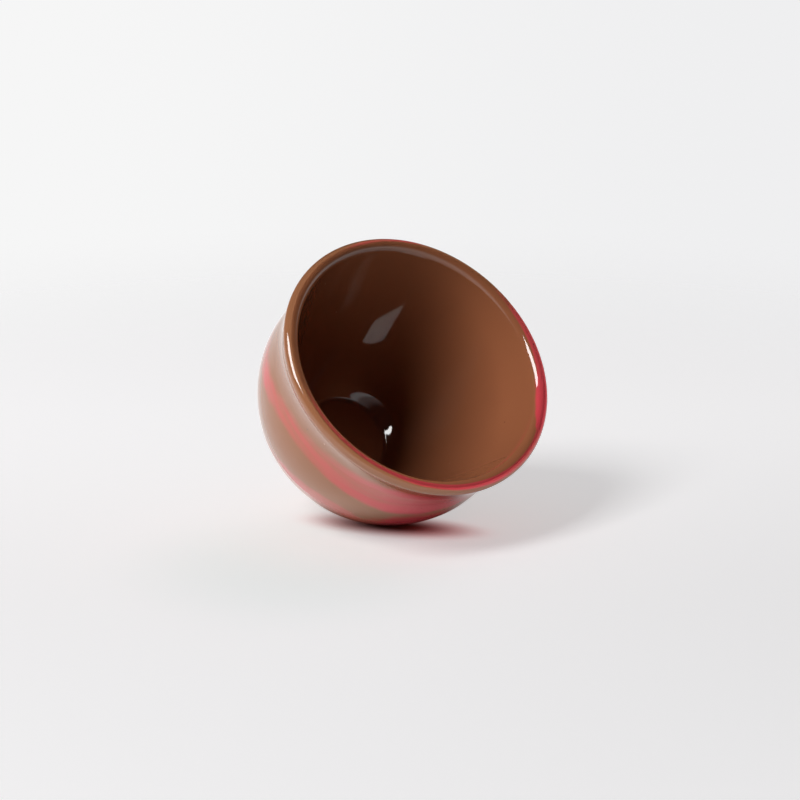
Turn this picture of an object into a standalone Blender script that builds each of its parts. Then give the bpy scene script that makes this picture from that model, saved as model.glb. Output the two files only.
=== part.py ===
"""Handle-less cappuccino cup of cased, hand-blown opaque glass, in metres, +Z up.

The origin is the centre of the flat ground base. The cup is built as the glass is gathered: a brown
lining that holds the drink, a brown casing blown over it, and trails of red glass wound round the
casing and rolled flush into channels in its outside.
"""

import math
from dataclasses import dataclass

import bmesh
import bpy
from mathutils import Vector

MM = 0.001

# Driving dimensions of the outside
BOWL_RADIUS = 41.9 * MM     # round bowl, outside
LIP_FLARE = 3.1 * MM        # how far the lip stands out past the bowl
LIP_RISE = 20.1 * MM        # lip's centre above the bowl's widest circle
FLARE_RADIUS = 36.0 * MM    # hollow sweep from the bowl up to the lip
BASE_RADIUS = 17.5 * MM     # flat ground base

# Layers of glass, from the drink outwards
LINING = 1.3 * MM           # inner layer
SEAM = 0.3 * MM             # clearance between neighbouring layers
CASING = 3.0 * MM           # outer layer, in the lip; it is thicker below

# Inside, which is steeper than the round outside
FLOOR_HEIGHT = 4.0 * MM     # flat floor under the drink
FLOOR_RADIUS = 13.2 * MM
HEEL_RADIUS = 3.0 * MM      # rounded corner between the floor and the wall
WALL_RISE = math.radians(41.0)      # slope at which the wall leaves the heel
HEEL_PULL = 0.3             # how far up the wall that slope reaches, as a share of the wall
LIP_PULL = 0.4              # how far down the wall the lip's slope reaches

# Red trails: widths, and how far down the outside from the lip's outer edge they start and end
LIP_TRAIL_WIDTH = 1.6 * MM
LIP_TRAIL_DROP = -2.95 * MM         # up over the lip's bead, by its crest
WAIST_TRAIL_WIDTH = 7.0 * MM
WAIST_TRAIL_START = 19.5 * MM
WAIST_TRAIL_END = 9.5 * MM
BOWL_TRAIL_WIDTH = 4.0 * MM
BOWL_TRAIL_START = 42.0 * MM
BOWL_TRAIL_END = 23.0 * MM
BACK_TRAIL_WIDTH = 5.5 * MM
BACK_TRAIL_START = 24.0 * MM
BACK_TRAIL_END = 12.0 * MM
TRAIL_DEPTH = 0.6 * MM      # thickness of every trail
TRAIL_TIP = 0.25            # width left at a trail's ends, as a share of its full width
CUT_PROUD = 0.5 * MM        # how far a channel's cutter stands out of the casing

# Facets
TURN_STEPS = 60             # round the cup
BOWL_STEPS = 9
WALL_STEPS = 12             # wall of the faces inside
HEEL_STEPS = 3
FLARE_STEPS = 5
LIP_STEPS = 4
TRAIL_ACROSS = 4            # strips across a trail
TRAIL_STEP = math.radians(6.0)
WELD = 0.001 * MM           # points closer than this are one
CREASE = math.radians(40.0)


@dataclass(frozen=True)
class Trail:
    """One red trail: where it starts, how far it turns, and how far below the lip it runs."""

    name: str
    start: float        # degrees round the cup from +X
    turn: float         # degrees
    drop_start: float   # down the outside from the lip's outer edge
    drop_end: float
    width: float


TRAILS = (
    Trail("red_trail_lip", -38.0, 196.0, LIP_TRAIL_DROP, LIP_TRAIL_DROP, LIP_TRAIL_WIDTH),
    Trail("red_trail_waist", -92.0, 150.0, WAIST_TRAIL_START, WAIST_TRAIL_END, WAIST_TRAIL_WIDTH),
    Trail("red_trail_bowl", -62.0, 140.0, BOWL_TRAIL_START, BOWL_TRAIL_END, BOWL_TRAIL_WIDTH),
    Trail("red_trail_back", 88.0, 150.0, BACK_TRAIL_START, BACK_TRAIL_END, BACK_TRAIL_WIDTH),
)

# Sizes that follow from the driving dimensions
WALL = LINING + SEAM + CASING
BOWL_HEIGHT = math.sqrt(BOWL_RADIUS ** 2 - BASE_RADIUS ** 2)
BOWL_CENTRE = Vector((0.0, BOWL_HEIGHT))
LIP_BEAD = WALL / 2
LIP_CENTRE = Vector((BOWL_RADIUS + LIP_FLARE - LIP_BEAD, BOWL_HEIGHT + LIP_RISE))
HEEL_CENTRE = Vector((FLOOR_RADIUS, FLOOR_HEIGHT + HEEL_RADIUS))


def meeting_point(centre_a, radius_a, centre_b, radius_b):
    """Return the outer of the two points where a pair of circles in the profile's plane cross."""
    across = centre_b - centre_a
    along = (radius_a ** 2 - radius_b ** 2 + across.length_squared) / (2 * across.length)
    aside = math.sqrt(radius_a ** 2 - along ** 2)
    direction = across.normalized()
    return centre_a + along * direction + aside * Vector((direction.y, -direction.x))


# The flare's centre lies outside the cup, where the sweep touches both the bowl and the lip's bead
FLARE_CENTRE = meeting_point(BOWL_CENTRE, BOWL_RADIUS + FLARE_RADIUS, LIP_CENTRE, FLARE_RADIUS + LIP_BEAD)
LIP_LEAN = math.atan2(LIP_CENTRE.y - FLARE_CENTRE.y, FLARE_CENTRE.x - LIP_CENTRE.x)
WAIST_ANGLE = math.atan2(FLARE_CENTRE.y - BOWL_HEIGHT, FLARE_CENTRE.x)
BASE_ANGLE = -math.asin(BOWL_HEIGHT / BOWL_RADIUS)
FLARE_LENGTH = FLARE_RADIUS * (LIP_LEAN + WAIST_ANGLE)


def polar(angle):
    """Return the unit vector at an angle above the horizontal in the profile's plane."""
    return Vector((math.cos(angle), math.sin(angle)))


def spread(first, last, steps):
    """Return steps + 1 evenly spaced values from first to last."""
    return [first + (last - first) * index / steps for index in range(steps + 1)]


def lip_point(angle, inset=0.0):
    """Return a point on the lip's round bead, at an angle up from its outer edge."""
    return LIP_CENTRE + (LIP_BEAD - inset) * polar(angle - LIP_LEAN)


def flare_point(angle, inset=0.0):
    """Return a point on the sweep under the lip, or inset below it, at an angle above the flare's centre."""
    return FLARE_CENTRE - (FLARE_RADIUS + inset) * polar(-angle)


def bowl_point(angle, inset=0.0):
    """Return a point on the round bowl's outside, or inset below it, at an angle above its widest circle."""
    return BOWL_CENTRE + (BOWL_RADIUS - inset) * polar(angle)


def seam_angle(inset):
    """Return the angle on the lip's bead where a face at an inset below the outside comes out."""
    return math.acos((LIP_BEAD - inset) / LIP_BEAD)


def wall_point(share, cover):
    """Return a point of the inner wall, or one deeper in the glass, at a share of the way from heel to lip."""
    foot = HEEL_CENTRE + HEEL_RADIUS * polar(WALL_RISE - math.pi / 2)
    edge = lip_point(math.pi)
    length = (edge - foot).length
    above_foot = foot + HEEL_PULL * length * polar(WALL_RISE)
    below_edge = edge - LIP_PULL * length * polar(math.pi / 2 - LIP_LEAN)
    low, high = foot.lerp(above_foot, share), below_edge.lerp(edge, share)
    middle = above_foot.lerp(below_edge, share)
    before, after = low.lerp(middle, share), middle.lerp(high, share)
    along = after - before
    return before.lerp(after, share) + cover * Vector((along.y, -along.x)).normalized()


def inner_face(cover):
    """Return the inside, or a face that lies deeper in the glass, from the axis up to the lip."""
    turns = spread(-math.pi / 2, WALL_RISE - math.pi / 2, HEEL_STEPS)
    heel = [HEEL_CENTRE + (HEEL_RADIUS + cover) * polar(angle) for angle in turns]
    wall = [wall_point(share, cover) for share in spread(0.0, 1.0, WALL_STEPS)]
    return [Vector((0.0, FLOOR_HEIGHT - cover))] + heel + wall[1:]


def lining_outline():
    """Return the lining's section: up its outside, over the inner part of the lip and down its inside."""
    outside = inner_face(LINING)
    lip = [lip_point(angle) for angle in spread(seam_angle(CASING + SEAM), math.pi, LIP_STEPS)]
    inside = inner_face(0.0)
    return outside + lip[:-1] + inside[::-1]


def casing_outline():
    """Return the casing's section: up its inside, over the outer part of the lip and down to the base."""
    inside = inner_face(LINING + SEAM)
    lip = [lip_point(angle) for angle in spread(seam_angle(CASING), 0.0, LIP_STEPS)]
    flare = [flare_point(angle) for angle in spread(LIP_LEAN, -WAIST_ANGLE, FLARE_STEPS)]
    bowl = [bowl_point(angle) for angle in spread(WAIST_ANGLE, BASE_ANGLE, BOWL_STEPS)]
    base_centre = Vector((0.0, 0.0))
    return inside + lip + flare[1:] + bowl[1:] + [base_centre]


def outside_point(drop, inset):
    """Return a point below the outside, at a distance down it from the lip's outer edge."""
    if drop < 0.0:
        return lip_point(-drop / LIP_BEAD, inset)
    if drop < FLARE_LENGTH:
        return flare_point(LIP_LEAN - drop / FLARE_RADIUS, inset)
    return bowl_point(WAIST_ANGLE - (drop - FLARE_LENGTH) / BOWL_RADIUS, inset)


def trail_rings(trail, outer_inset, inner_inset, clearance):
    """Return the closed rings of points along a trail, or along the cutter of its channel."""
    over = clearance / BOWL_RADIUS
    first = math.radians(trail.start) - over
    last = math.radians(trail.start + trail.turn) + over
    steps = math.ceil(math.radians(trail.turn) / TRAIL_STEP)
    rings = []
    for index in range(steps + 1):
        share = index / steps
        swell = TRAIL_TIP + (1.0 - TRAIL_TIP) * math.sqrt(math.sin(math.pi * share))
        half = trail.width * swell / 2 + clearance
        middle = trail.drop_start + (trail.drop_end - trail.drop_start) * share
        drops = spread(middle - half, middle + half, TRAIL_ACROSS)
        section = [outside_point(drop, outer_inset) for drop in drops]
        section += [outside_point(drop, inner_inset) for drop in reversed(drops)]
        turned = first + (last - first) * share
        rings.append([
            (point.x * math.cos(turned), point.x * math.sin(turned), point.y) for point in section
        ])
    return rings


def finished(name, bm):
    """Turn a bmesh into a smooth, closed object with its faces pointing out."""
    bmesh.ops.recalc_face_normals(bm, faces=bm.faces)
    mesh = bpy.data.meshes.new(name)
    bm.to_mesh(mesh)
    bm.free()
    mesh.shade_smooth()
    mesh.set_sharp_from_angle(angle=CREASE)
    thing = bpy.data.objects.new(name, mesh)
    bpy.context.scene.collection.objects.link(thing)
    return thing


def turned_solid(name, outline):
    """Turn a section that starts and ends on the axis into a solid of revolution."""
    bm = bmesh.new()
    points = [bm.verts.new((point.x, 0.0, point.y)) for point in outline]
    edges = [bm.edges.new(pair) for pair in zip(points, points[1:])]
    bmesh.ops.spin(
        bm, geom=points + edges, cent=(0, 0, 0), axis=(0, 0, 1),
        angle=math.tau, steps=TURN_STEPS, use_merge=True,
    )
    bmesh.ops.remove_doubles(bm, verts=bm.verts, dist=WELD)
    return finished(name, bm)


def wound_solid(name, rings):
    """Join a row of closed rings into a strip with both ends filled."""
    bm = bmesh.new()
    rows = [[bm.verts.new(point) for point in ring] for ring in rings]
    for near, far in zip(rows, rows[1:]):
        for index in range(len(near)):
            after = (index + 1) % len(near)
            bm.faces.new((near[index], near[after], far[after], far[index]))
    bm.faces.new(rows[0])
    bm.faces.new(rows[-1])
    return finished(name, bm)


def cut(body, cutter):
    """Cut a channel into a body with a hidden cutter."""
    cutter.hide_render = True
    cutter.display_type = "WIRE"
    channel = body.modifiers.new(cutter.name, "BOOLEAN")
    channel.operation = "DIFFERENCE"
    channel.object = cutter


def linear(channel):
    """Return the linear value of one sRGB channel."""
    return channel / 12.92 if channel <= 0.04045 else ((channel + 0.055) / 1.055) ** 2.4


def glass(name, srgb, roughness):
    """Return an opaque glass material of an sRGB colour."""
    material = bpy.data.materials.new(name)
    material.use_nodes = True
    shader = material.node_tree.nodes["Principled BSDF"]
    shader.inputs["Base Color"].default_value = (*(linear(channel / 255) for channel in srgb), 1.0)
    shader.inputs["Metallic"].default_value = 0.0
    shader.inputs["Roughness"].default_value = roughness
    return material


def main():
    """Build the cup."""
    for thing in list(bpy.data.objects):
        bpy.data.objects.remove(thing)

    lining = turned_solid("brown_lining", lining_outline())
    lining.data.materials.append(glass("brown lining glass", (143, 88, 56), 0.06))

    casing = turned_solid("brown_casing", casing_outline())
    casing.data.materials.append(glass("brown casing glass", (158, 112, 84), 0.08))

    for trail in TRAILS:
        band = wound_solid(trail.name, trail_rings(trail, 0.0, TRAIL_DEPTH, 0.0))
        band.data.materials.append(glass(trail.name.replace("_", " ") + " glass", (208, 62, 72), 0.08))
        channel = trail_rings(trail, -CUT_PROUD, TRAIL_DEPTH + SEAM, SEAM)
        cut(casing, wound_solid(trail.name + "_channel", channel))


main()
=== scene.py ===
"""Looks of a handle-less cappuccino cup of cased, hand-blown opaque glass.

Everything is in metres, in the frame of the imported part: +Z runs up along the cup's axis, and the
origin is the centre of the ground base. The photograph shows the cup lying on its round side, so the
camera and the floor are tipped round the upright cup instead.
"""

import logging
import math
from collections.abc import Callable
from dataclasses import dataclass, field
from enum import Enum
from functools import cached_property, partial

import bpy
from bpy.types import Material, Node, NodeSocket, NodeTree, Object, World
from mathutils import Matrix, Vector


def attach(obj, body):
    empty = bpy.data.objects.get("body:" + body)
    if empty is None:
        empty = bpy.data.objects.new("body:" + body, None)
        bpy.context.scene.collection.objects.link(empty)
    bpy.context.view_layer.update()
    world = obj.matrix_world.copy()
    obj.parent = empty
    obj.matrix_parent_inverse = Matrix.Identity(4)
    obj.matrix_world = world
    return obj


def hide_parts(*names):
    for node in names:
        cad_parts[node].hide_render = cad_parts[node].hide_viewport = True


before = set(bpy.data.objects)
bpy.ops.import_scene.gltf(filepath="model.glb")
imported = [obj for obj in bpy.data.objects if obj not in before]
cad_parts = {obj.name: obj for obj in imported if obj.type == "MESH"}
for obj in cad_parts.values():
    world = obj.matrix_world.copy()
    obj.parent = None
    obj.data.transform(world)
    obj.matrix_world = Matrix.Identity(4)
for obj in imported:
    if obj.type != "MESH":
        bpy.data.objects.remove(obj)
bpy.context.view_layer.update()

MM = 0.001
BODY = "root"
REDNESS = "redness"  # point attribute: share of red glass at a place
WELD = 0.0005 * MM  # points closer than this are one
CREASE = math.radians(40.0)
EASED = {"interpolation_type": "SMOOTHSTEP"}  # for a Map Range node that eases in and out

log = logging.getLogger("cup")


def linear(colour: str) -> tuple[float, float, float, float]:
    """Turn an sRGB hex colour into linear RGBA.

    Args:
        colour: six hex digits.

    Returns:
        The linear red, green and blue, and an alpha of 1.
    """
    shares = [int(colour[place:place + 2], 16) / 255 for place in (0, 2, 4)]
    toned = [share / 12.92 if share <= 0.04045 else ((share + 0.055) / 1.055) ** 2.4 for share in shares]
    return toned[0], toned[1], toned[2], 1.0


def polar(angle: float) -> Vector:
    """Return the unit vector at an angle above the horizontal in the section's plane."""
    return Vector((math.cos(angle), math.sin(angle)))


def bearing(way: Vector) -> float:
    """Return the angle above the horizontal of a way in the section's plane."""
    return math.atan2(way.y, way.x)


def spread(first: float, last: float, steps: int) -> list[float]:
    """Return steps + 1 evenly spaced values from first to last."""
    return [first + (last - first) * index / steps for index in range(steps + 1)]


def eased(share: float) -> float:
    """Return a share held to 0..1 and eased in and out."""
    held = min(max(share, 0.0), 1.0)
    return held * held * (3.0 - 2.0 * held)


def add_node(tree: NodeTree, kind: str, inputs: dict | None = None, **settings: object) -> Node:
    """Add a node with its settings, and set or link its inputs.

    Args:
        tree: the node tree that takes the node.
        kind: the node's type name, after its first word ShaderNode.
        inputs: by name or number, each input's value, or the output or node (its first output) to link.
        settings: the node's own properties.

    Returns:
        The new node.
    """
    added = tree.nodes.new("ShaderNode" + kind)
    for setting, value in settings.items():
        setattr(added, setting, value)
    for socket, value in (inputs or {}).items():
        if isinstance(value, Node):
            value = next(output for output in value.outputs if output.enabled)
        if isinstance(value, NodeSocket):
            tree.links.new(value, added.inputs[socket])
        else:
            added.inputs[socket].default_value = value
    return added


def new_material(name: str) -> tuple[Material, Callable[..., Node]]:
    """Make a node material with no nodes, and return it and what adds a node to it."""
    material = bpy.data.materials.new(name)
    material.use_nodes = True
    material.node_tree.nodes.clear()
    return material, partial(add_node, material.node_tree)


@dataclass(frozen=True)
class Span:
    """A stretch over which a level goes from one value to another."""

    start: float
    end: float

    def inputs(self, along: object, low: object, high: object) -> dict[str, object]:
        """Return the inputs of a Map Range node that takes a level from low to high over the stretch."""
        return {"Value": along, "From Min": self.start, "From Max": self.end, "To Min": low, "To Max": high}


@dataclass(frozen=True)
class CupForm:
    """The cup's section, as arcs that touch: a round bowl, a hollow flare and a rounded lip.

    The lip is tight on its outer side and crest, and flatter on its inner side.
    """

    bowl_radius: float = 41.9 * MM
    lip_flare: float = 3.1 * MM  # how far the lip stands out past the bowl
    lip_rise: float = 20.33 * MM  # lip's centre above the bowl's widest circle
    lip_radius: float = 2.0 * MM
    lip_inner_radius: float = 3.0 * MM
    flare_radius: float = 36.0 * MM
    base_radius: float = 17.5 * MM
    lip_thickness: float = 4.4 * MM
    lining: float = 1.45 * MM  # thickness of the inner layer
    hairline: float = 0.01 * MM  # where the fused layers meet
    lip_seam: float = 3.57 * MM  # where they come out, up over the lip from its outer edge
    floor_height: float = 4.0 * MM  # flat floor under the drink
    floor_radius: float = 13.7 * MM
    heel_radius: float = 3.0 * MM  # inside, between floor and wall
    wall_rise: float = math.radians(38.0)  # slope at which the inner wall leaves the heel
    wall_lean: float = math.radians(15.0)  # how far it leans out where it meets the lip
    heel_pull: float = 0.1  # how far up the wall its first slope reaches, as a share of the wall
    lip_pull: float = 0.8  # how far down the wall its last slope reaches
    floor_steps: int = 4
    skin: float = 1.0 * MM  # points less deep than this belong to the outside
    lip_tilt: float = math.radians(1.82)  # hand-made lean of the mouth
    lip_tilt_towards: float = math.radians(70.0)
    tilt_fades_below: float = 40.0 * MM  # height under which the wall is true

    @cached_property
    def bowl_centre(self) -> Vector:
        """Centre of the round bowl in the section."""
        return Vector((0.0, math.sqrt(self.bowl_radius ** 2 - self.base_radius ** 2)))

    @cached_property
    def lip_centre(self) -> Vector:
        """Centre of the lip's outer arc in the section."""
        out = self.bowl_radius + self.lip_flare - self.lip_radius
        return Vector((out, self.bowl_centre.y + self.lip_rise))

    @cached_property
    def flare_centre(self) -> Vector:
        """Centre of the flare, outside the cup, from which it touches both the bowl and the lip."""
        reach_bowl = self.bowl_radius + self.flare_radius
        reach_lip = self.flare_radius + self.lip_radius
        across = self.lip_centre - self.bowl_centre
        along = (reach_bowl ** 2 - reach_lip ** 2 + across.length_squared) / (2 * across.length)
        aside = math.sqrt(reach_bowl ** 2 - along ** 2)
        direction = across.normalized()
        return self.bowl_centre + along * direction + aside * Vector((direction.y, -direction.x))

    @cached_property
    def lip_lean(self) -> float:
        """Angle from which the flare meets the lip's outer arc."""
        return -bearing(self.flare_centre - self.lip_centre)

    @cached_property
    def lip_turn(self) -> float:
        """Turn from the lip's outer edge to where its outer arc runs into the flatter inner one."""
        both = self.lip_radius + self.lip_inner_radius
        return math.acos((self.lip_thickness - both) / (self.lip_inner_radius - self.lip_radius))

    @cached_property
    def lip_inner_centre(self) -> Vector:
        """Centre of the lip's inner arc in the section."""
        apart = self.lip_inner_radius - self.lip_radius
        return self.lip_centre - apart * polar(self.lip_turn - self.lip_lean)

    @cached_property
    def lip_outer_length(self) -> float:
        """Length of the lip's outer arc."""
        return self.lip_radius * self.lip_turn

    @cached_property
    def lip_length(self) -> float:
        """Length of the way over the lip, from its outer edge to its inner edge."""
        turn = math.pi + self.lip_lean - self.wall_lean
        return self.lip_outer_length + self.lip_inner_radius * (turn - self.lip_turn)

    @cached_property
    def inner_edge(self) -> Vector:
        """Point at which the lip runs into the inner wall."""
        return self.lip_point(self.lip_length)

    @cached_property
    def heel_centre(self) -> Vector:
        """Centre of the rounded corner between floor and wall."""
        return Vector((self.floor_radius, self.floor_height + self.heel_radius))

    @cached_property
    def waist_angle(self) -> float:
        """Angle above the bowl's widest circle at which the flare meets the bowl."""
        return bearing(self.flare_centre - self.bowl_centre)

    @cached_property
    def base_angle(self) -> float:
        """Angle on the bowl at which the ground base cuts it."""
        return -math.acos(self.base_radius / self.bowl_radius)

    @cached_property
    def flare_length(self) -> float:
        """Length of the flare down the outside."""
        return self.flare_radius * (self.lip_lean + self.waist_angle)

    def lip_point(self, along: float, inset: float = 0.0) -> Vector:
        """Return a point on the lip, or inset below it.

        Args:
            along: distance up over the lip from its outer edge.
            inset: depth below the surface.

        Returns:
            The point's radius and height.
        """
        past = along - self.lip_outer_length
        if past < 0.0:
            return self.lip_centre + (self.lip_radius - inset) * polar(along / self.lip_radius - self.lip_lean)
        turn = self.lip_turn + past / self.lip_inner_radius - self.lip_lean
        return self.lip_inner_centre + (self.lip_inner_radius - inset) * polar(turn)

    def flare_point(self, angle: float, inset: float = 0.0) -> Vector:
        """Return a point on the flare or inset below it, at an angle above its centre."""
        return self.flare_centre - (self.flare_radius + inset) * polar(-angle)

    def bowl_point(self, angle: float, inset: float = 0.0) -> Vector:
        """Return a point on the bowl or inset below it, at an angle above its widest circle."""
        return self.bowl_centre + (self.bowl_radius - inset) * polar(angle)

    def outside_point(self, drop: float, inset: float = 0.0) -> Vector:
        """Return a point of the outside by its distance down from the lip's outer edge.

        Args:
            drop: distance down the outside; negative values go up over the lip.
            inset: depth below the outside.

        Returns:
            The point's radius and height.
        """
        if drop < 0.0:
            return self.lip_point(-drop, inset)
        if drop < self.flare_length:
            return self.flare_point(self.lip_lean - drop / self.flare_radius, inset)
        return self.bowl_point(self.waist_angle - (drop - self.flare_length) / self.bowl_radius, inset)

    def drop_at(self, radius: float, height: float) -> float:
        """Return how far down the outside a surface point lies from the lip's outer edge.

        Args:
            radius: the point's distance from the axis.
            height: the point's height above the base.

        Returns:
            The distance; over the lip and down the inside it grows negative.
        """
        spot = Vector((radius, height))
        from_bowl = spot - self.bowl_centre
        in_bowl = bearing(from_bowl)
        if in_bowl <= self.waist_angle and self.bowl_radius - from_bowl.length < self.skin:
            return self.flare_length + self.bowl_radius * (self.waist_angle - in_bowl)
        from_flare = spot - self.flare_centre
        in_flare = math.atan2(from_flare.y, -from_flare.x)
        if -self.waist_angle < in_flare <= self.lip_lean and from_flare.length - self.flare_radius < self.skin:
            return self.flare_radius * (self.lip_lean - in_flare)
        if height < self.inner_edge.y:
            return -self.lip_length - (self.inner_edge.y - height) / math.cos(self.wall_lean)
        turn = bearing(spot - self.lip_centre) + self.lip_lean
        if turn <= self.lip_turn:
            return -self.lip_radius * turn
        past = bearing(spot - self.lip_inner_centre) + self.lip_lean - self.lip_turn
        return -self.lip_outer_length - self.lip_inner_radius * past

    def wall_point(self, share: float, cover: float) -> Vector:
        """Return a point of the inner wall, or one deeper in the glass.

        Args:
            share: how far up from the heel to the lip the point lies, 0 to 1.
            cover: its depth below the inside.

        Returns:
            The point's radius and height.
        """
        foot = self.heel_centre + self.heel_radius * polar(self.wall_rise - math.pi / 2)
        edge = self.inner_edge
        length = (edge - foot).length
        above_foot = foot + self.heel_pull * length * polar(self.wall_rise)
        below_edge = edge - self.lip_pull * length * polar(math.pi / 2 - self.wall_lean)
        low, high = foot.lerp(above_foot, share), below_edge.lerp(edge, share)
        middle = above_foot.lerp(below_edge, share)
        before, after = low.lerp(middle, share), middle.lerp(high, share)
        along = after - before
        return before.lerp(after, share) + cover * Vector((along.y, -along.x)).normalized()

    def inner_face(self, cover: float, heel_steps: int, wall_steps: int) -> list[Vector]:
        """Return the inside, or a face that lies deeper in the glass, from the axis up to the lip.

        Args:
            cover: the face's depth below the inside.
            heel_steps: parts of the heel.
            wall_steps: parts of the wall.

        Returns:
            The face's points, from the axis upwards.
        """
        radii = spread(0.0, self.floor_radius, self.floor_steps)
        floor = [Vector((radius, self.floor_height - cover)) for radius in radii]
        turns = spread(-math.pi / 2, self.wall_rise - math.pi / 2, heel_steps)
        heel = [self.heel_centre + (self.heel_radius + cover) * polar(turn) for turn in turns]
        wall = [self.wall_point(share, cover) for share in spread(0.0, 1.0, wall_steps)]
        return floor + heel[1:] + wall[1:]

    def settled(self, point: Vector) -> Vector:
        """Return a point of the true cup moved to where the hand-made lean of the mouth puts it."""
        towards = Vector((math.cos(self.lip_tilt_towards), math.sin(self.lip_tilt_towards), 0.0))
        share = eased((point.z - self.tilt_fades_below) / (self.lip_centre.y - self.tilt_fades_below))
        return point + Vector((0.0, 0.0, math.tan(self.lip_tilt) * point.dot(towards) * share))


@dataclass(frozen=True)
class Streak:
    """A streak of red glass, drawn out round the cup while both glasses were soft.

    A point of its route is: degrees round the cup from +X; the drop below the lip's outer edge and the
    soft edges above and below, all three in mm; and the share of red in its middle.
    """

    route: tuple[tuple[float, float, float, float, float], ...]
    core: float = 0.25  # part of the half width that is at full strength

    def redness(self, degrees: float, drop: float) -> float:
        """Return the streak's share of red at a place.

        Args:
            degrees: the place's angle round the cup.
            drop: the place's distance below the lip's outer edge, in mm.

        Returns:
            The share, 0 where the streak doesn't reach.
        """
        first = self.route[0][0]
        degrees = first + (degrees - first) % 360.0
        for near, far in zip(self.route, self.route[1:]):
            if degrees <= far[0]:
                share = (degrees - near[0]) / (far[0] - near[0])
                middle, above, below, strength = (
                    start + (end - start) * eased(share) for start, end in zip(near[1:], far[1:])
                )
                away = (middle - drop) / above if drop < middle else (drop - middle) / below
                return strength * (1.0 - eased((away - self.core) / (1.0 - self.core)))
        return 0.0


@dataclass(frozen=True)
class Swirl:
    """All the red that is drawn into the cup."""

    streaks: tuple[Streak, ...] = (
        Streak((  # broad band round the waist
            (-112, 24, 4, 5, 0), (-90, 24, 5, 6, 0.25), (-78, 23.3, 5, 5, 0.45), (-67, 21.6, 4.5, 4.5, 0.7),
            (-58, 19.4, 5, 4.5, 0.55), (-50, 17.4, 5.5, 4.3, 0.48), (-40, 15.9, 5.5, 4, 0.46),
            (-30, 15.7, 5.5, 3.8, 0.45), (-20, 16.4, 5.5, 3.1, 0.47), (-10, 17.6, 5, 2.2, 0.55),
            (0, 18.5, 5, 1.9, 0.62), (10, 19.2, 5, 1.9, 0.75), (17, 19.5, 6, 2.2, 0.9), (30, 18, 7, 3, 1),
            (45, 15, 6, 4, 0.9), (70, 12, 5, 4, 0.7), (100, 10, 4, 4, 0.35), (130, 9, 3, 3, 0),
        )),
        Streak((  # thin veil above it
            (-36, 12.5, 4, 4, 0), (-28, 13, 5, 5, 0.22), (-15, 12.5, 6, 6, 0.38), (-5, 12, 7, 7, 0.46),
            (5, 11.5, 8.5, 8.5, 0.54), (15, 10.5, 10.5, 10, 0.7), (28, 10, 12, 10, 0.85), (40, 9, 12, 9, 0.8),
            (52, 8, 11, 8, 0.6), (75, 8, 6, 6, 0.25), (100, 7, 5, 5, 0),
        )),
        Streak((  # deep red on the right side
            (11, 34, 6, 8, 0), (17, 33, 8, 10, 0.45), (24, 31, 12, 12, 0.92), (33, 29, 13, 14, 1),
            (45, 28, 12, 14, 0.9), (60, 27, 9, 12, 0.5), (85, 26, 6, 8, 0.15), (110, 25, 4, 5, 0),
        )),
        Streak((  # band low on the bowl
            (-54, 42, 3.5, 5, 0), (-38, 38, 3.5, 7, 0.2), (-28, 35.2, 3.5, 8, 0.4), (-18, 32.8, 3.2, 10, 0.52),
            (-10, 30.8, 2.8, 12, 0.5), (-2, 29.8, 2.4, 12, 0.48), (5, 30.8, 2.6, 11, 0.46),
            (10, 33.5, 3.8, 9, 0.4), (16, 37, 4, 7, 0.2), (23, 39, 4, 5, 0),
        )),
        Streak((  # band on the hidden side
            (92, 25, 3, 4, 0), (115, 23, 3.5, 5, 0.6), (140, 20, 4, 5, 0.9), (170, 17, 3, 4, 0.85),
            (200, 15, 3, 3, 0.55), (238, 12.5, 2, 3, 0),
        )),
        Streak((  # band under that one
            (150, 40, 3, 4, 0), (180, 37, 3, 4, 0.65), (210, 35.5, 3, 4, 0.8), (235, 36.5, 3, 4, 0.5),
            (258, 38, 3, 3, 0),
        )),
        Streak((  # line by the crest of the lip, broad where it turns over to the inside
            (-48, -4.6, 0.5, 0.6, 0), (-36, -4.6, 0.7, 0.8, 0.4), (-18, -4.5, 0.8, 0.9, 0.7),
            (0, -4.4, 0.8, 1, 0.8), (20, -4.2, 0.8, 1.3, 0.9), (40, -3.9, 0.8, 1.6, 0.95),
            (56, -3.6, 0.8, 1.8, 0.95), (66, -3.5, 0.8, 1.8, 0.8), (78, -3.5, 0.8, 2, 0.7),
            (86, -3.6, 0.9, 2.4, 0.7), (90, -4.2, 1.3, 2.6, 1), (97, -4.8, 2, 3.4, 1), (104, -5, 2.3, 3.6, 1),
            (112, -4.9, 2.1, 3.4, 1), (119, -4.5, 1.2, 2.8, 0.95), (132, -4.4, 0.9, 2.6, 0.9),
            (145, -4.3, 0.8, 2.4, 0.75), (153, -4.2, 0.6, 1.6, 0.3), (164, -4, 0.4, 0.6, 0),
        ), core=0.55),
        Streak((  # short line on the lip at the back
            (190, -2.8, 0.5, 0.8, 0), (204, -3, 0.7, 0.8, 0.6), (214, -3.2, 0.7, 0.8, 0.5),
            (224, -3.5, 0.8, 0.8, 0.55), (238, -3.8, 0.6, 0.6, 0),
        ), core=0.4),
    )

    def redness(self, degrees: float, drop: float) -> float:
        """Return the share of red at a place, where overlapping streaks build up.

        Args:
            degrees: the place's angle round the cup.
            drop: the place's distance below the lip's outer edge, in mm.

        Returns:
            The share of red, 0 to 1.
        """
        clear = 1.0
        for streak in self.streaks:
            clear *= 1.0 - streak.redness(degrees, drop)
        return 1.0 - clear


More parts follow.
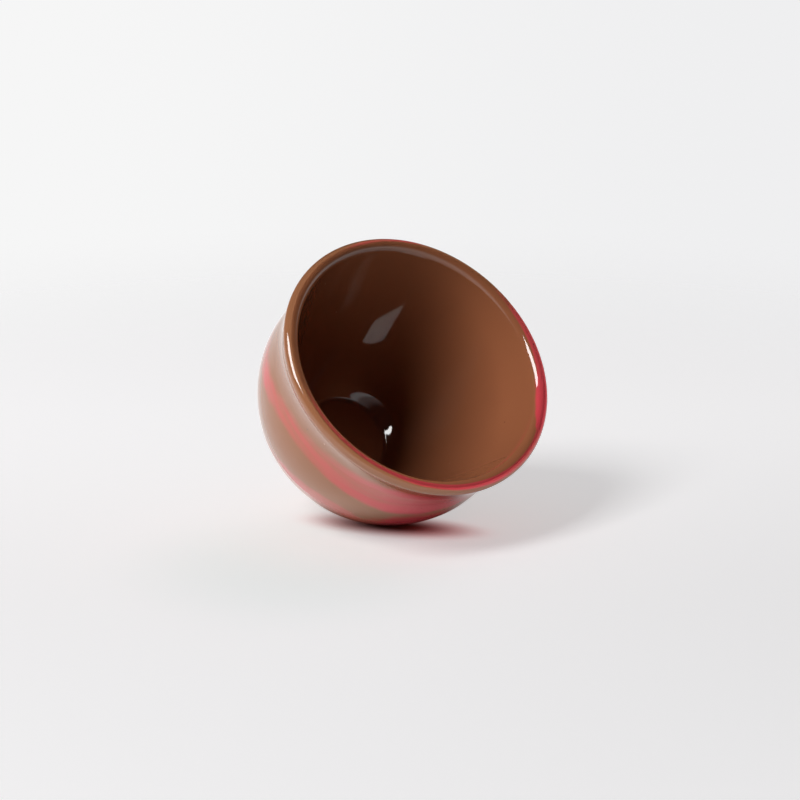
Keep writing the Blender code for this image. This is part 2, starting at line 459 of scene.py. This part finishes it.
@dataclass(frozen=True)
class OpaqueGlass:
    """Fire-polished opaque glass, hand-blown: brown, with red drawn into it in soft streaks.

    To the eye it is one wet, even gloss over solid colour. The brown drifts a little in tone, and
    the red frays into the brown in threads that run round the cup.
    """

    name: str
    brown: str = "91593B"
    brown_drift: str = "8A5338"
    red: str = "CF4A50"
    red_drift: str = "C23A45"
    roughness: float = 0.045
    ior: float = 1.57
    drift_size: float = 22.0 * MM  # patches of slightly different brown
    drift_detail: float = 2.0
    thread_size: float = 4.0 * MM  # drawn threads, measured along the cup's axis
    thread_stretch: float = 8.0  # how much longer a thread is than it is wide
    thread_detail: float = 5.0
    thread_roughness: float = 0.6
    thread_curl: float = 0.3
    thread_range: Span = Span(0.3, 0.7)  # thinnest to thickest threads in the noise
    fray: float = 0.9  # how far the threads push a streak's soft edge
    seed_spacing: float = 7.0 * MM  # between specks and tiny bubbles caught in the glass; the dark ones are seeds, the pale ones are painted glints, highlights on raised seeds
    seed_radius: float = 0.3 * MM
    seed_core: float = 0.5  # part of that radius that is at full strength
    seed_dark: str = "4A2A1C"
    # pale specks are painted highlights, glints on raised seeds
    seed_light: str = "C79A7E"
    seed_light_share: float = 0.5
    ripple_size: float = 16.0 * MM  # slow unevenness of blown glass
    ripple_depth: float = 0.012 * MM
    ripple_detail: float = 1.0

    def material(self) -> Material:
        """Make the material."""
        material, add = new_material(self.name)
        place = add("TexCoord").outputs["Object"]
        redness = add("Attribute", attribute_name=REDNESS).outputs["Fac"]
        drift = add("TexNoise", {"Vector": place, "Scale": 1.0 / self.drift_size, "Detail": self.drift_detail})
        squeeze = 1.0 / self.thread_stretch
        squeezed = add("Mapping", {"Vector": place, "Scale": (squeeze, squeeze, 1.0)})
        threads = add("TexNoise", {
            "Vector": squeezed, "Scale": 1.0 / self.thread_size, "Detail": self.thread_detail,
            "Roughness": self.thread_roughness, "Distortion": self.thread_curl,
        })
        push = add("MapRange", self.thread_range.inputs(threads, -self.fray, self.fray))
        clear = add("Math", {0: 1.0, 1: redness}, operation="SUBTRACT")
        edge = add("Math", {0: redness, 1: clear}, operation="MULTIPLY")
        frayed = add("Math", {0: edge, 1: push, 2: redness}, operation="MULTIPLY_ADD", use_clamp=True)
        brown = add("Mix", {
            "Factor": drift, "A": linear(self.brown), "B": linear(self.brown_drift),
        }, data_type="RGBA")
        red = add("Mix", {
            "Factor": threads, "A": linear(self.red), "B": linear(self.red_drift),
        }, data_type="RGBA")
        colour = add("Mix", {"Factor": frayed, "A": brown, "B": red}, data_type="RGBA")
        radius = self.seed_radius / self.seed_spacing
        seeds = add("TexVoronoi", {"Vector": place, "Scale": 1.0 / self.seed_spacing})
        speck = add("MapRange", Span(self.seed_core * radius, radius).inputs(seeds, 1.0, 0.0))
        # dark specks are seeds in the glass; pale ones are painted glints standing in for highlights
        chance = add("SeparateColor", {"Color": seeds.outputs["Color"]})
        pale = add("Math", {0: chance, 1: 1.0 - self.seed_light_share}, operation="GREATER_THAN")
        speck_tone = add("Mix", {
            "Factor": pale, "A": linear(self.seed_dark), "B": linear(self.seed_light),
        }, data_type="RGBA")
        specked = add("Mix", {"Factor": speck, "A": colour, "B": speck_tone}, data_type="RGBA")
        ripple = add("TexNoise", {"Vector": place, "Scale": 1.0 / self.ripple_size, "Detail": self.ripple_detail})
        bump = add("Bump", {"Height": ripple, "Distance": self.ripple_depth})
        shader = add("BsdfPrincipled", {
            "Base Color": specked, "Roughness": self.roughness, "IOR": self.ior, "Normal": bump,
        })
        add("OutputMaterial", {"Surface": shader})
        return material


@dataclass(frozen=True)
class GroundGlass:
    """Glass ground flat on a wheel: the gloss is gone, and fine scratches turn it pale and dull."""

    name: str = "ground brown glass"
    tone: str = "9A6A4C"
    scratched: str = "A97E62"
    roughness: float = 0.5
    grit: float = 0.6 * MM  # drawn coarser than real grit, so that it shows
    grit_depth: float = 0.01 * MM
    grit_detail: float = 4.0

    def material(self) -> Material:
        """Make the material."""
        material, add = new_material(self.name)
        place = add("TexCoord").outputs["Object"]
        grit = add("TexNoise", {"Vector": place, "Scale": 1.0 / self.grit, "Detail": self.grit_detail})
        tone = add("Mix", {"Factor": grit, "A": linear(self.tone), "B": linear(self.scratched)}, data_type="RGBA")
        bump = add("Bump", {"Height": grit, "Distance": self.grit_depth})
        shader = add("BsdfPrincipled", {"Base Color": tone, "Roughness": self.roughness, "Normal": bump})
        add("OutputMaterial", {"Surface": shader})
        return material


def turned_object(name: str, outline: list[Vector], steps: int) -> Object:
    """Turn a section that starts and ends on the axis into a closed object.

    Args:
        name: the object's name.
        outline: the section's points, as radius and height.
        steps: facets round the axis.

    Returns:
        The object, with its place in its mesh.
    """
    bpy.ops.mesh.primitive_plane_add(size=1.0 * MM)
    turned = bpy.context.active_object
    turned.name = turned.data.name = name
    bpy.ops.object.mode_set(mode="EDIT")
    bpy.ops.mesh.merge(type="CENTER")
    bpy.ops.transform.translate(value=(outline[0].x, 0.0, outline[0].y))
    for start, end in zip(outline, outline[1:]):
        bpy.ops.mesh.extrude_vertices_move(
            TRANSFORM_OT_translate={"value": (end.x - start.x, 0.0, end.y - start.y)},
        )
    bpy.ops.mesh.select_all(action="SELECT")
    bpy.ops.mesh.spin(steps=steps, angle=math.tau, center=(0.0, 0.0, 0.0), axis=(0.0, 0.0, 1.0))
    bpy.ops.mesh.select_all(action="SELECT")
    bpy.ops.mesh.remove_doubles(threshold=WELD)
    bpy.ops.mesh.normals_make_consistent(inside=False)
    bpy.ops.object.mode_set(mode="OBJECT")
    return turned


@dataclass
class GlassLayer:
    """One layer of the cup's glass: what it stands for, how it is finished and how it is painted."""

    form: CupForm
    swirl: Swirl
    node: str
    slot: str
    finish: OpaqueGlass
    shadow_ease: float = field(default=0.3, kw_only=True)  # keeps facets from shading each other

    def build(self) -> Object:
        """Build the layer's mesh on the true form."""
        raise NotImplementedError

    def settle(self, piece: Object) -> None:
        """Write each point's share of red, then give the mouth its hand-made lean.

        Args:
            piece: the layer's object.
        """
        shares = piece.data.attributes.new(REDNESS, "FLOAT", "POINT")
        for point in piece.data.vertices:
            drop = self.form.drop_at(math.hypot(point.co.x, point.co.y), point.co.z)
            degrees = math.degrees(math.atan2(point.co.y, point.co.x))
            shares.data[point.index].value = self.swirl.redness(degrees, drop / MM)
            point.co = self.form.settled(point.co)
        piece.data.update()

    def dress(self, piece: Object) -> None:
        """Give the piece its gloss, and put it on the part's body in its node's place.

        Args:
            piece: the layer's object.
        """
        piece.data.materials.append(self.finish.material())
        bpy.ops.object.select_all(action="DESELECT")
        piece.select_set(True)
        bpy.context.view_layer.objects.active = piece
        bpy.ops.object.shade_smooth_by_angle(angle=CREASE)
        piece.cycles.shadow_terminator_geometry_offset = self.shadow_ease
        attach(piece, BODY)
        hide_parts(self.node)


@dataclass
class Lining(GlassLayer):
    """The inner bubble: the whole inside, and the inner side of the lip up to its crest."""

    steps_round: int = 320
    hidden_steps: int = 12
    lip_steps: int = 28
    heel_steps: int = 16
    wall_steps: int = 60

    def build(self) -> Object:
        """Turn the lining from its section."""
        form = self.form
        outside = form.inner_face(form.lining - form.hairline, self.hidden_steps, self.hidden_steps)
        over_lip = spread(form.lip_seam + form.hairline, form.lip_length, self.lip_steps)
        lip = [form.lip_point(along) for along in over_lip]
        inside = form.inner_face(0.0, self.heel_steps, self.wall_steps)
        return turned_object("lining", outside + lip[:-1] + inside[::-1], self.steps_round)


@dataclass
class Casing(GlassLayer):
    """The outer gather: the outside, the outer side of the lip up to its crest, and the ground base."""

    steps_round: int = 320
    hidden_steps: int = 12
    lip_steps: int = 24
    flare_steps: int = 26
    bowl_steps: int = 64
    arris: float = 0.35 * MM  # softened edge of the ground base
    dimple_radius: float = 8.0 * MM  # polished hollow where the iron was cracked off
    dimple_depth: float = 0.35 * MM
    dimple_steps: int = 8
    flat_steps: int = 3  # ring of the base between its edge and the hollow
    ground: GroundGlass = field(default_factory=GroundGlass)

    def build(self) -> Object:
        """Turn the casing from its section."""
        form = self.form
        inside = form.inner_face(form.lining, self.hidden_steps, self.hidden_steps)
        lip = [form.lip_point(along) for along in spread(form.lip_seam, 0.0, self.lip_steps)]
        flare = [form.flare_point(turn) for turn in spread(form.lip_lean, -form.waist_angle, self.flare_steps)]
        above_base = form.base_angle + self.arris / form.bowl_radius
        bowl = [form.bowl_point(turn) for turn in spread(form.waist_angle, above_base, self.bowl_steps)]
        radii = spread(form.base_radius - self.arris, self.dimple_radius, self.flat_steps)
        flat = [Vector((radius, 0.0)) for radius in radii]
        dimple = [
            Vector((self.dimple_radius * (1.0 - share), self.dimple_depth * eased(share)))
            for share in spread(0.0, 1.0, self.dimple_steps)
        ]
        return turned_object("casing", inside + lip + flare[1:] + bowl[1:] + flat + dimple[1:], self.steps_round)

    def dress(self, piece: Object) -> None:
        """Give the piece its gloss, and its flat base the ground finish.

        Args:
            piece: the layer's object.
        """
        super().dress(piece)
        piece.data.materials.append(self.ground.material())
        for face in piece.data.polygons:
            low = face.normal.z < 0.0 and abs(face.center.z) < self.arris / 2
            face.material_index = int(low and math.hypot(face.center.x, face.center.y) > self.dimple_radius)


@dataclass
class RedTrail(GlassLayer):
    """A ribbon of red glass wound round the casing and rolled into it."""

    start: float = 0.0  # degrees round the cup
    turn: float = 0.0  # degrees
    drop_start: float = 0.0  # distance below the lip's outer edge
    drop_end: float = 0.0
    width: float = 0.0
    tip: float = 0.25  # width left at the ends, as a share of the full width
    proud: float = 0.04 * MM  # how far its middle stands out of the casing
    sunk: float = 0.02 * MM  # how far its edges lie under the casing's face
    depth: float = 0.6 * MM
    step: float = 1.5  # degrees
    strips: int = 14  # across the ribbon
    side_share: float = 0.5  # part of the half width over which a side slopes down
    end_share: float = 0.125  # part of the length over which an end does

    def build(self) -> Object:
        """Lay out a flat ribbon, wind it round the cup and thicken it into the casing."""
        along = math.ceil(self.turn / self.step)
        bpy.ops.mesh.primitive_grid_add(x_subdivisions=along, y_subdivisions=self.strips, size=2.0)
        ribbon = bpy.context.active_object
        ribbon.name = ribbon.data.name = self.node.replace("red_trail_", "") + "_trail"
        for point in ribbon.data.vertices:
            point.co = self.wound((point.co.x + 1.0) / 2.0, point.co.y)
        ribbon.data.flip_normals()  # the grid's face comes out towards the axis
        thickness = ribbon.modifiers.new("thickness", "SOLIDIFY")
        thickness.thickness = self.depth
        thickness.offset = -1.0
        bpy.ops.object.modifier_apply(modifier=thickness.name)
        return ribbon

    def wound(self, share: float, across: float) -> Vector:
        """Return the place on the cup of a point of the flat ribbon.

        Args:
            share: how far along the ribbon the point lies, 0 to 1.
            across: where it lies across the ribbon, -1 to 1.

        Returns:
            The point on the casing.
        """
        swell = self.tip + (1.0 - self.tip) * math.sqrt(max(math.sin(math.pi * share), 0.0))
        drop = self.drop_start + (self.drop_end - self.drop_start) * share + across * swell * self.width / 2
        to_end = min(share, 1.0 - share)
        lift = self.proud * eased((1.0 - abs(across)) / self.side_share) * eased(to_end / self.end_share)
        spot = self.form.outside_point(drop, self.sunk - lift - self.sunk * lift / self.proud)
        angle = math.radians(self.start + self.turn * share)
        return Vector((spot.x * math.cos(angle), spot.x * math.sin(angle), spot.y))


class LightUse(Enum):
    """What a soft box lights."""

    CUP = "the whole cup"
    INSIDE = "the lining, seen inside the cup"
    OUTSIDE = "the casing and trails, seen outside"
    FLOOR = "the floor, so that it stays pale beside the cup"


class LightKind(Enum):
    """How a soft box shows on what it lights."""

    FULL = "lights it and shows in its gloss"
    FILL = "lights it without a highlight"
    SPARKLE = "shows in its gloss only"


@dataclass(frozen=True)
class SoftBox:
    """A soft box, aimed at the cup."""

    name: str
    heading: float  # degrees from the front, to the right
    height: float  # degrees above the floor
    size: tuple[float, float]  # width and length
    level: float  # brightness of a white card at the cup that faces it
    use: LightUse
    kind: LightKind = LightKind.FULL
    distance: float = 1.2

    def build(self, target: Vector, direction: Vector, lit: list[Object]) -> None:
        """Hang the soft box.

        Args:
            target: the point it lights.
            direction: the unit vector from the target to the soft box.
            lit: the objects that it lights.
        """
        lamp = bpy.data.lights.new(self.name, "AREA")
        lamp.shape = "RECTANGLE"
        lamp.size, lamp.size_y = self.size
        lamp.energy = self.level * (math.pi * self.distance) ** 2
        box = bpy.data.objects.new(self.name, lamp)
        box.location = target + direction * self.distance
        box.rotation_euler = direction.to_track_quat("Z", "Y").to_euler()
        box.visible_glossy = self.kind != LightKind.FILL
        box.visible_diffuse = self.kind != LightKind.SPARKLE
        bpy.context.scene.collection.objects.link(box)
        group = bpy.data.collections.new(self.name + " lights")
        for thing in lit:
            group.objects.link(thing)
        box.light_linking.receiver_collection = group


@dataclass(frozen=True)
class PhotoView:
    """Where the photograph was taken from, as the upright cup sees it."""

    azimuth: float = math.radians(-20.0)  # of the camera, round the cup from +X
    tip: float = math.radians(38.5)  # between the cup's axis and the line of sight
    roll: float = math.radians(45.0)  # of the axis in the picture, up from its right
    pitch: float = math.radians(15.0)  # of the camera above the floor
    frame_px: float = 800.0
    focal_px: float = 2400.0
    mouth_px: tuple[float, float] = (418.0, 364.3)  # centre of the lip in the picture
    mouth_distance: float = 745.2 * MM
    sensor: float = 36.0  # mm

    @property
    def axes(self) -> tuple[Vector, Vector, Vector]:
        """Unit vectors to the picture's right, to its top and to the camera."""
        near = Vector((math.cos(self.azimuth), math.sin(self.azimuth), 0.0))
        side = Vector((-near.y, near.x, 0.0))
        up = Vector((0.0, 0.0, 1.0))
        sin_tip, cos_tip = math.sin(self.tip), math.cos(self.tip)
        sin_roll, cos_roll = math.sin(self.roll), math.cos(self.roll)
        right = -cos_tip * cos_roll * near + sin_roll * side + sin_tip * cos_roll * up
        top = -cos_tip * sin_roll * near - cos_roll * side + sin_tip * sin_roll * up
        return right, top, sin_tip * near + cos_tip * up

    @property
    def floor_axes(self) -> tuple[Vector, Vector, Vector]:
        """Unit vectors along the floor to the right, up from it, and along it to the front."""
        right, top, back = self.axes
        up = math.cos(self.pitch) * top + math.sin(self.pitch) * back
        return right, up, right.cross(up)

    def camera(self, mouth: Vector) -> Object:
        """Make the camera.

        Args:
            mouth: the centre of the lip.

        Returns:
            The camera's object.
        """
        right, top, back = self.axes
        middle = self.frame_px / 2
        aside = (self.mouth_px[0] - middle) / self.focal_px * self.mouth_distance
        below = (self.mouth_px[1] - middle) / self.focal_px * self.mouth_distance
        lens = bpy.data.cameras.new("camera")
        lens.sensor_width = self.sensor
        lens.lens = self.sensor * self.focal_px / self.frame_px
        camera = bpy.data.objects.new("camera", lens)
        place = mouth + back * self.mouth_distance - right * aside + top * below
        turned = Matrix((right, top, back)).transposed().to_4x4()
        camera.matrix_world = Matrix.Translation(place) @ turned
        bpy.context.scene.collection.objects.link(camera)
        return camera


@dataclass
class Studio:
    """The pale sweep, the soft light from the left and the camera."""

    form: CupForm
    view: PhotoView = field(default_factory=PhotoView)
    boxes: tuple[SoftBox, ...] = (
        SoftBox("soft box", -57.0, 45.0, (0.66, 0.66), 1.2, LightUse.INSIDE, LightKind.FILL),
        SoftBox("soft box outside", -54.0, 46.0, (0.66, 0.66), 0.98, LightUse.OUTSIDE, LightKind.FILL),
        SoftBox("soft box in the gloss", -49.0, 49.5, (0.62, 0.62), 1.3, LightUse.CUP, LightKind.SPARKLE),
        SoftBox("left fill", -36.0, 5.0, (0.7, 0.2), 0.26, LightUse.OUTSIDE, LightKind.FILL),
        SoftBox("back rim", 133.0, 13.0, (0.4, 0.12), 1.6, LightUse.INSIDE, LightKind.FILL),
        SoftBox("right fill", 70.0, 5.0, (0.3, 0.1), 0.65, LightUse.OUTSIDE, LightKind.FILL),
        SoftBox("floor soft box", -50.0, 49.0, (0.45, 0.45), 0.42, LightUse.FLOOR),
        SoftBox("floor fill", 150.0, 70.0, (2.4, 2.4), 0.16, LightUse.FLOOR, distance=1.5),
    )
    floor_tone: str = "EDECED"
    floor_reach: float = 0.6
    fade: Span = Span(0.16, 0.5)  # distance at which the floor fades into the background
    pale: str = "F6F6F6"  # background on the left
    pale_right: str = "EFEFF0"
    glow: float = 0.56  # light on the floor from all round, which casts no shadow
    glow_back: float = 0.68  # the same behind the cup
    glow_depth: Span = Span(-0.1, 0.15)  # from the floor's front to its back
    glow_gloss: float = 0.3  # how much more of it the floor's left has in the cup's gloss
    glow_side: Span = Span(-0.02, 0.02)  # from the floor's left to its right
    gloss_shade: Span = Span(0.017, 0.034)  # distance from the cup at which it starts in the gloss
    foot_at: tuple[float, float, float] = (0.0015, -0.0068, 0.0)  # middle of the long shade at the cup's foot
    foot_turn: float = -16.0  # degrees by which that shade turns to the back
    foot_slim: float = 0.38  # its width as a share of its length
    foot_shade: Span = Span(0.006, 0.034)  # from the end of its dark core to its own end
    blush: str = "ED9494"  # paper painted pink by the foot: painted light that the red glass throws on it
    blush_reach: Span = Span(0.0, 0.038)  # how far along the shade that painted red light goes
    front_tone: str = "E2E6E6"  # paper painted greyer in front of the cup: painted shade where the cup hides some of the room
    front_at: tuple[float, float, float] = (-0.028, -0.045, 0.0)
    front_reach: Span = Span(0.012, 0.065)
    bounce: float = 1.25  # the floor's light on the cup
    bounce_right: float = 0.15  # the same on the right, where the room is dark
    bounce_side: Span = Span(-0.01, 0.05)
    bounce_shade: Span = Span(0.010, 0.038)  # distance from the cup at which it starts
    shade: float = 0.028  # how much farther the cup shades the floor on its right
    shade_side: Span = Span(-0.015, 0.02)
    shine: float = 1.1  # the table round the floor, in the gloss
    ambient: float = 0.005  # light from the rest of the room
    room: float = 0.015  # how dark the room shows in the gloss
    backdrop: float = 0.9  # low white backdrop behind the cup, in the gloss
    front_wall: float = 0.4  # low pale wall in front of the cup, in the gloss
    window: float = 1.4  # bright end of the backdrop on the left, in the gloss
    window_heading: float = -140.0  # degrees from the front, to the right
    # Spans of a ray's turn, as the cosine of its angle to a direction
    pale_turn: Span = Span(-0.16, 0.16)  # to the right, across the background
    table_turn: Span = Span(-0.1, 0.4)  # to the right, across the table
    horizon_turn: Span = Span(-0.04, 0.04)  # up, from the table to the walls
    wall_turn: Span = Span(0.06, 0.26)  # up, from the low walls to the room
    back_turn: Span = Span(-0.2, 0.4)  # to the back, from the front wall to the backdrop
    window_turn: Span = Span(0.55, 0.95)  # to the window

    def build(self, cup: list[Object]) -> None:
        """Set up floor, lights, background and camera.

        Args:
            cup: the cup's pieces, the lining first.
        """
        scene = bpy.context.scene
        scene.view_settings.view_transform = "Standard"
        scene.camera = self.view.camera(Vector((0.0, 0.0, self.form.lip_centre.y)))
        centre = Vector((0.0, 0.0, self.form.bowl_centre.y))
        lit = {
            LightUse.CUP: cup, LightUse.INSIDE: cup[:1], LightUse.OUTSIDE: cup[1:],
            LightUse.FLOOR: [self.lay_floor(centre)],
        }
        for box in self.boxes:
            box.build(centre, self.aimed(box.heading, box.height), lit[box.use])
        scene.world = self.surroundings()

    def aimed(self, heading: float, height: float = 0.0) -> Vector:
        """Return the unit vector of a direction over the floor.

        Args:
            heading: degrees from the front, to the right.
            height: degrees above the floor.

        Returns:
            The direction.
        """
        right, up, front = self.view.floor_axes
        turn, rise = math.radians(heading), math.radians(height)
        return math.cos(rise) * (math.sin(turn) * right + math.cos(turn) * front) + math.sin(rise) * up

    def lay_floor(self, centre: Vector) -> Object:
        """Lay the floor under the bowl, where the cup rests on its round side.

        Args:
            centre: the bowl's centre.

        Returns:
            The floor.
        """
        right, up, front = self.view.floor_axes
        bpy.ops.mesh.primitive_plane_add(size=2.0 * self.floor_reach)
        floor = bpy.context.active_object
        floor.name = "floor"
        turned = Matrix((right, -front, up)).transposed().to_4x4()
        floor.matrix_world = Matrix.Translation(centre - up * self.form.bowl_radius) @ turned
        floor.data.materials.append(self.floor_material())
        return floor

    def floor_material(self) -> Material:
        """Make the pale paper of the sweep, seen from above only and fading out all round."""
        material, add = new_material("white paper sweep")
        place = add("TexCoord").outputs["Object"]
        away = add("VectorMath", {0: place}, operation="LENGTH")
        side = add("SeparateXYZ", {"Vector": place}).outputs
        path = add("LightPath").outputs
        in_gloss = path["Is Glossy Ray"]

        # Paper: white, painted greyer in front of the cup as painted shade where the cup keeps some of the room's
        # light off, and painted pink by its foot as painted red light from the glass
        # painted shade: the paper's colour turns greyer in front of the cup
        from_front = add("VectorMath", {0: place, 1: self.front_at}, operation="DISTANCE")
        past_front = add("MapRange", self.front_reach.inputs(from_front, 0.0, 1.0), **EASED)
        tone = add("Mix", {
            "Factor": past_front, "A": linear(self.front_tone), "B": linear(self.floor_tone),
        }, data_type="RGBA")
        along_foot = add("Mapping", {
            "Vector": place, "Location": self.foot_at, "Rotation": (0.0, 0.0, math.radians(self.foot_turn)),
            "Scale": (1.0, self.foot_slim, 1.0),
        }, vector_type="TEXTURE")
        from_foot = add("VectorMath", {0: along_foot}, operation="LENGTH")
        # painted red light: the paper's colour turns pink towards the cup's foot
        past_blush = add("MapRange", self.blush_reach.inputs(from_foot, 0.0, 1.0), **EASED)
        tint = add("Mix", {"Factor": past_blush, "A": linear(self.blush), "B": tone}, data_type="RGBA")

        # What the camera and the cup's gloss see: the lit paper, and light on it from all round
        even = add("MapRange", self.glow_depth.inputs(side["Y"], self.glow, self.glow_back), **EASED)
        more = add("MapRange", self.glow_side.inputs(side["X"], self.glow_gloss, 0.0), **EASED)
        glow = add("Math", {0: in_gloss, 1: more, 2: even}, operation="MULTIPLY_ADD")
        by_foot = add("MapRange", self.foot_shade.inputs(from_foot, 0.0, glow), **EASED)
        by_cup = add("MapRange", self.gloss_shade.inputs(away, 0.0, glow), **EASED)
        level = add("Mix", {"Factor": in_gloss, "A": by_foot, "B": by_cup})
        around = add("Emission", {"Color": tint, "Strength": level})
        paper = add("BsdfDiffuse", {"Color": tint})
        seen = add("AddShader", {0: paper, 1: around})

        # What lights the cup from below
        given = add("MapRange", self.bounce_side.inputs(side["X"], self.bounce, self.bounce_right), **EASED)
        lag = add("MapRange", self.shade_side.inputs(side["X"], 0.0, self.shade), **EASED)
        unshaded = add("Math", {0: away, 1: lag}, operation="SUBTRACT")
        bounced = add("MapRange", self.bounce_shade.inputs(unshaded, 0.0, given), **EASED)
        felt = add("Emission", {"Color": linear(self.floor_tone), "Strength": bounced})

        shown = add("Math", {0: path["Is Camera Ray"], 1: in_gloss}, operation="MAXIMUM")
        sheet = add("MixShader", {0: shown, 1: felt, 2: seen})
        behind = add("NewGeometry").outputs["Backfacing"]
        above = add("Math", {0: 1.0, 1: behind}, operation="SUBTRACT")
        near = add("MapRange", self.fade.inputs(away, 1.0, 0.0), **EASED)
        share = add("Math", {0: near, 1: above}, operation="MULTIPLY")
        clear = add("BsdfTransparent")
        faded = add("MixShader", {0: share, 1: clear, 2: sheet})
        add("OutputMaterial", {"Surface": faded})
        return material

    def surroundings(self) -> World:
        """Make what lies round the floor: a white table, low pale walls and a dark room."""
        world = bpy.data.worlds.new("studio")
        world.use_nodes = True
        world.node_tree.nodes.clear()
        add = partial(add_node, world.node_tree)
        right, up, front = self.view.floor_axes
        heading = add("TexCoord").outputs["Generated"]
        path = add("LightPath").outputs
        in_gloss = path["Is Glossy Ray"]

        def towards(direction: Vector, span: Span, low: float, high: float) -> Node:
            """Return the last node of a level that eases from low to high as a ray turns to a direction."""
            along = add("VectorMath", {0: heading, 1: direction}, operation="DOT_PRODUCT")
            return add("MapRange", span.inputs(along, low, high), **EASED)

        walls = towards(-front, self.back_turn, self.front_wall, self.backdrop)
        to_window = towards(self.aimed(self.window_heading), self.window_turn, 0.0, 1.0)
        bright = add("Mix", {"Factor": to_window, "A": walls, "B": self.window})
        low = towards(up, self.wall_turn, 1.0, 0.0)
        shown = add("Mix", {"Factor": low, "A": self.room, "B": bright})
        over = add("Mix", {"Factor": in_gloss, "A": self.ambient, "B": shown})
        table = towards(right, self.table_turn, self.bounce, self.bounce_right)
        under = add("Mix", {"Factor": in_gloss, "A": table, "B": self.shine})
        above = towards(up, self.horizon_turn, 0.0, 1.0)
        level = add("Mix", {"Factor": above, "A": under, "B": over})
        lit = add("Background", {"Color": (1.0, 1.0, 1.0, 1.0), "Strength": level})
        across = towards(right, self.pale_turn, 0.0, 1.0)
        tone = add("Mix", {
            "Factor": across, "A": linear(self.pale), "B": linear(self.pale_right),
        }, data_type="RGBA")
        seen = add("Background", {"Color": tone})
        both = add("MixShader", {0: path["Is Camera Ray"], 1: lit, 2: seen})
        add("OutputWorld", {"Surface": both})
        return world


def main() -> None:
    """Build the cup's layers from the inside out, then the studio."""
    logging.basicConfig(level=logging.INFO, format="%(name)s: %(message)s")
    form, swirl = CupForm(), Swirl()
    casing_glass = OpaqueGlass("opaque brown casing glass", brown="916042", brown_drift="8A5A3E")
    trail_glass = OpaqueGlass("opaque red trail glass", brown="916042", brown_drift="8A5A3E")

    def trail(node: str, *route: float) -> RedTrail:
        """Make a trail from its node's name and its route."""
        return RedTrail(form, swirl, node, "red_trail_glass", trail_glass, *route)

    layers: list[GlassLayer] = [
        Lining(form, swirl, "brown_lining", "brown_lining_glass", OpaqueGlass("opaque brown lining glass")),
        Casing(form, swirl, "brown_casing", "brown_casing_glass", casing_glass),
        trail("red_trail_lip", -38.0, 196.0, -2.6 * MM, -2.6 * MM, 1.5 * MM),
        trail("red_trail_waist", -92.0, 150.0, 19.5 * MM, 9.5 * MM, 7.0 * MM),
        trail("red_trail_bowl", -62.0, 140.0, 42.0 * MM, 23.0 * MM, 4.0 * MM),
        trail("red_trail_back", 88.0, 150.0, 24.0 * MM, 12.0 * MM, 5.5 * MM),
    ]
    cup: list[Object] = []
    for layer in layers:
        piece = layer.build()
        layer.settle(piece)
        layer.dress(piece)
        cup.append(piece)
        log.info("%s: %d points, for %s", piece.name, len(piece.data.vertices), layer.node)
    Studio(form).build(cup)


if __name__ == "__main__":
    main()
